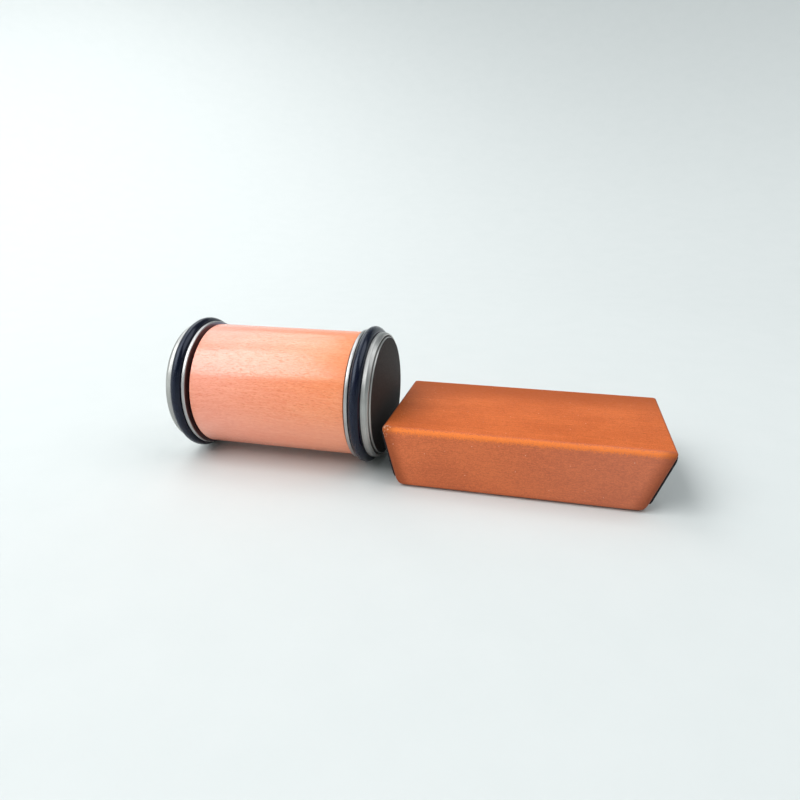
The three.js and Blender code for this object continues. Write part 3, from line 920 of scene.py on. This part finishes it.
rounded_edges = block.modifiers.new("rounded_edges", "BEVEL")
rounded_edges.width = end_foot_round
rounded_edges.segments = 8
rounded_edges.profile = 0.5
rounded_edges.limit_method = "WEIGHT"
rounded_edges.use_clamp_overlap = False

bores = bmesh.new()
for end_frame in end_frames.values():
    for offset in magnet_row:
        bore_place = end_frame @ Matrix.Translation((0, offset * magnet_pitch, 0)) @ lying
        cylinder_in(bores, magnet_bore_radius, 2 * magnet_bore_depth, bore_place, magnet_bore_sides)
cut_or_join(block, bores, "DIFFERENCE", block_sharp_angle)
recess_depth = pad_high.z - block_low.z + recess_play
recess = rounded_sheet(
    2 * recess_depth, pad_size.y + 2 * recess_play, pad_size.x + 2 * recess_play, recess_corner, 0
)
bmesh.ops.translate(recess, vec=(-recess_depth, 0, 0), verts=recess.verts)
recess_place = Matrix.Translation((pad_middle.x, pad_middle.y, block_low.z)) @ lying
bmesh.ops.transform(recess, matrix=recess_place, verts=recess.verts)
cut_or_join(block, recess, "DIFFERENCE", block_sharp_angle)

stain_light = (0.7, 0.166, 0.045, 1)
stain_dark = (0.48, 0.099, 0.024, 1)
fleck_red = (0.3, 0.058, 0.018, 1)
painted_front_sheen = (0.62, 0.26, 0.2, 1)
painted_back_shade = (0.38, 0.075, 0.014, 1)
worn_and_highlit_orange = (0.86, 0.215, 0.036, 1)
end_shade_brown = (0.17, 0.034, 0.011, 1)
bare_wood = (0.9, 0.6, 0.42, 1)
block_pith = (-120, 30)
block_shares = (0.2, 0.3, 0.6, 0.6)
red_beech, tree, shader, place = new_finish("red_beech")
tone, flecks, fine_fibres, in_mm = beech_grain(tree, place, wood_middle, block_pith, block_shares)
speckle = noise(tree, scaled(tree, in_mm, (2.0, 2.6, 2.6)), detail=2, roughness=0.7)
tone = swayed(tree, tone, speckle, 1.3)
stain = blend_colours(tree, spread(tree, tone, -0.34, 0.34), stain_light, stain_dark)
stain = blend_colours(tree, calculate(tree, "MULTIPLY", flecks, 0.3), stain, fleck_red)
axes = add_node(tree, "SeparateXYZ", {"Vector": in_mm}).outputs
half_depth = wood_depth / 2 / mm
half_height = wood_height / 2 / mm
on_front = spread(tree, axes["Y"], 1.5 - half_depth, 3.5 - half_depth, 1.0, 0.0)
# Painted reflection: the front face is blended paler and pinker, more so to the right, as a sheen on its
# finish.
front_sheen_share = calculate(tree, "MULTIPLY", on_front, spread(tree, axes["X"], -20, 50, 0.16, 0.32))
stain = blend_colours(tree, front_sheen_share, stain, painted_front_sheen)
# Painted shade: the wood darkens towards the back of the block.
back_shade_share = spread(tree, axes["Y"], half_depth - 30, half_depth - 3, 0.0, 0.85)
stain = blend_colours(tree, back_shade_share, stain, painted_back_shade)
from_side = calculate(tree, "SUBTRACT", half_depth, calculate(tree, "ABSOLUTE", axes["Y"]))
from_top = calculate(tree, "SUBTRACT", half_height, axes["Z"])
from_edge = calculate(tree, "MAXIMUM", from_side, from_top)
# Lighter orange along the top long edges: partly rubbed stain, partly a painted highlight on their
# rounding.
ragged = swayed(tree, from_edge, speckle, 4.2)
ragged = swayed(tree, ragged, fine_fibres, 1.6)
worn = spread(tree, ragged, 0.9, 2.5, 0.75, 0.0)
stain = blend_colours(tree, worn, stain, worn_and_highlit_orange)
end_distances = []
for _, slope, way in ends:
    outward = (way * math.cos(slope), 0, -math.sin(slope))
    reach = (block_length - wood_height * math.tan(slope)) / 2 * math.cos(slope) / mm
    along = vector_math(tree, "DOT_PRODUCT", "Value", in_mm, outward)
    end_distances.append(calculate(tree, "SUBTRACT", reach, along))
from_end = calculate(tree, "MINIMUM", *end_distances)
# Painted shade: the wood darkens close to both sawn ends, and over a wider band of the front face beside
# them.
painted_end_shade = spread(tree, from_end, 0.4, 1.7, 0.55, 0.0)
painted_front_end_shade = calculate(tree, "MULTIPLY", on_front, spread(tree, from_end, 0.8, 7.0, 0.65, 0.0))
painted_end_shade = calculate(tree, "MAXIMUM", painted_end_shade, painted_front_end_shade)
stain = blend_colours(tree, painted_end_shade, stain, end_shade_brown)
corner = (-block_length / 2 / mm + 1, 1 - half_depth, half_height - 1)
from_corner = vector_math(tree, "DISTANCE", "Value", in_mm, corner)
nicks = spread(tree, noise(tree, scaled(tree, in_mm, (0.9, 2.4, 2.4)), detail=1.0), 0.6, 0.66)
nicks = calculate(tree, "MULTIPLY", nicks, spread(tree, from_corner, 2.4, 4.2, 1.0, 0.0))
dust = cells(tree, in_mm, 0.25)
dust = spread(tree, dust.outputs["Distance"], 0.035, 0.055, 0.6, 0.0)
stain = blend_colours(tree, calculate(tree, "MAXIMUM", nicks, dust), stain, bare_wood)
tree.links.new(stain, shader.inputs["Base Color"])
tree.links.new(spread(tree, fine_fibres, 0.25, 0.75, 0.5, 0.64), shader.inputs["Roughness"])
shader.inputs["Specular IOR Level"].default_value = 0.08
add_bump(tree, shader, calculate(tree, "SUBTRACT", speckle, flecks), distance=0.04 * mm, strength=0.4)
fit_in(block, "block", "block_body", red_beech)

# Magnets
# Nickel-plated discs of sintered magnet, glued into the bores behind both ends, three to an end.
magnet_radius = 7.0 * mm
magnet_thickness = 5.0 * mm
magnet_sink = 0.2 * mm
magnet_sides = 96
magnet_edge_round = 0.4 * mm
nickel_dull = (0.56, 0.53, 0.48, 1)
nickel_bright = (0.72, 0.7, 0.66, 1)
nickel_plate, tree, shader, place = new_finish("nickel_plate")
dimples = even_noise(tree, place, scale=900, detail=3)
tarnish = even_noise(tree, place, scale=220, detail=4)
nickel_tone = blend_colours(tree, tarnish, nickel_dull, nickel_bright)
tree.links.new(nickel_tone, shader.inputs["Base Color"])
tree.links.new(spread(tree, tarnish, 0.3, 0.7, 0.3, 0.16), shader.inputs["Roughness"])
shader.inputs["Metallic"].default_value = 1.0
add_bump(tree, shader, dimples, distance=0.01 * mm, strength=0.3)
for name, end_frame in end_frames.items():
    for number, offset in enumerate(magnet_row, 1):
        inset = -(magnet_sink + magnet_thickness / 2)
        magnet_place = end_frame @ Matrix.Translation((inset, offset * magnet_pitch, 0)) @ lying
        shape = bmesh.new()
        cylinder_in(shape, magnet_radius, magnet_thickness, Matrix.Identity(4), magnet_sides)
        caps = [face for face in shape.faces if abs(face.normal.z) > 0.9]
        bevelled(shape, [edge for face in caps for edge in face.edges], magnet_edge_round, cuts=4)
        bmesh.ops.transform(shape, matrix=magnet_place, verts=shape.verts)
        magnet = finished(shape, "plated_magnet_" + name + "_" + str(number))
        node = "magnet_" + name + "_" + str(number)
        fit_in(magnet, "block", node, nickel_plate)

# End pads
# Thin black rubber sheets glued over the two sawn ends, so that the steel held there isn't scratched.
end_pad_thickness = 0.8 * mm
end_pad_margin = 2.4 * mm
end_pad_corner = 2.5 * mm
glue_gap = 0.2 * mm
pad_edge_round = 0.25 * mm
pad_black = (0.004, 0.004, 0.005, 1)
pad_scuffed = (0.013, 0.013, 0.015, 1)
pad_rubber, tree, shader, place = new_finish("black_pad_rubber")
pebble = cells(tree, place, 1500)
scuffs = even_noise(tree, place, scale=160, detail=4)
pad_tone = blend_colours(tree, scuffs, pad_black, pad_scuffed)
tree.links.new(pad_tone, shader.inputs["Base Color"])
tree.links.new(spread(tree, scuffs, 0.3, 0.7, 0.5, 0.68), shader.inputs["Roughness"])
shader.inputs["Specular IOR Level"].default_value = 0.2
add_bump(tree, shader, pebble.outputs["Distance"], distance=0.05 * mm, strength=0.4)
for name, slope, _ in ends:
    height = wood_height / math.cos(slope) - 2 * end_pad_margin
    depth = wood_depth - 2 * end_pad_margin
    shape = rounded_sheet(end_pad_thickness, depth, height, end_pad_corner, pad_edge_round)
    bmesh.ops.translate(shape, vec=(glue_gap, 0, 0), verts=shape.verts)
    bmesh.ops.transform(shape, matrix=end_frames[name], verts=shape.verts)
    end_sheet = finished(shape, "end_sheet_" + name)
    fit_in(end_sheet, "block", "end_pad_" + name, pad_rubber)

# Base pad
# A black rubber sheet let into the block's underside, standing a little proud so that it grips the table.
base_pad_corner = 4.0 * mm
shape = rounded_sheet(pad_size.z, pad_size.y, pad_size.x, base_pad_corner, pad_edge_round)
base_place = Matrix.Translation((pad_middle.x, pad_middle.y, pad_high.z)) @ lying
bmesh.ops.transform(shape, matrix=base_place, verts=shape.verts)
base_sheet = finished(shape, "base_sheet")
fit_in(base_sheet, "block", "base_pad", pad_rubber)
